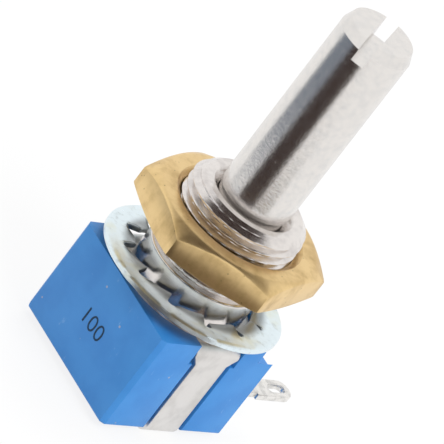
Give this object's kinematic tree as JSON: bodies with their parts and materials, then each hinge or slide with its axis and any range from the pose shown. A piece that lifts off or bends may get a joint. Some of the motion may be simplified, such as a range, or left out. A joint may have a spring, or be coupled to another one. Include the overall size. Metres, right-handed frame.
{
  "type": "rotary potentiometer",
  "caption": "Square single-turn panel potentiometer with a slotted round shaft, threaded bushing, hex nut, toothed washer, clamping strap and flat solder lugs.",
  "frame": {"origin": "on the shaft axis, in the plane of the housing's front face", "axes": "+Z along the shaft towards its tip, +Y towards the solder lugs, +X through the strap's arm"},
  "size_m": [0.0158, 0.0193, 0.0359],
  "materials": {
    "nickel_shaft": "bright nickel plate over turned steel",
    "seal_rubber": "matt",
    "spring_steel": "rolled",
    "rotor_plastic": "moulded, natural",
    "wiper_alloy": "precious-metal spring alloy",
    "nickel_bushing": "bright nickel plate over turned brass",
    "strap_steel": "satin rolled strip",
    "blue_plastic": "moulded, fine satin",
    "ceramic_plate": "fired alumina",
    "cermet_film": "fired film",
    "silver_film": "fired film",
    "tinned_terminal": "bright tin plate",
    "solder": "bright",
    "nut_brass": "machined, unplated",
    "zinc_washer": "clear bluish zinc plate"
  },
  "bodies": {
    "body": {"bushing": "nickel_bushing", "clamp_strap": "strap_steel", "housing": "blue_plastic", "element_plate": "ceramic_plate", "resistor_track": "cermet_film", "collector_track": "silver_film", "track_end_pads": "silver_film", "terminal_left": "tinned_terminal", "terminal_centre": "tinned_terminal", "terminal_right": "tinned_terminal", "terminal_solder": "solder", "rear_gasket": "seal_rubber", "rear_cover": "blue_plastic", "lock_washer": "zinc_washer"},
    "shaft_assembly": {"shaft": "nickel_shaft", "shaft_seal": "seal_rubber", "thrust_washer": "spring_steel", "retaining_ring": "spring_steel", "rotor": "rotor_plastic", "wiper": "wiper_alloy"},
    "nut": {"hex_nut": "nut_brass"}
  },
  "joints": [
    {"name": "shaft_turn", "type": "hinge", "parent": "body", "child": "shaft_assembly", "pos_m": [0, 0, 0], "axis": [0, 0, 1], "range_deg": [-150, 150]},
    {"name": "nut_travel", "type": "slide", "parent": "body", "child": "nut", "axis": [0, 0, 1], "range_m": [-0.0028, 0.003]}
  ]
}
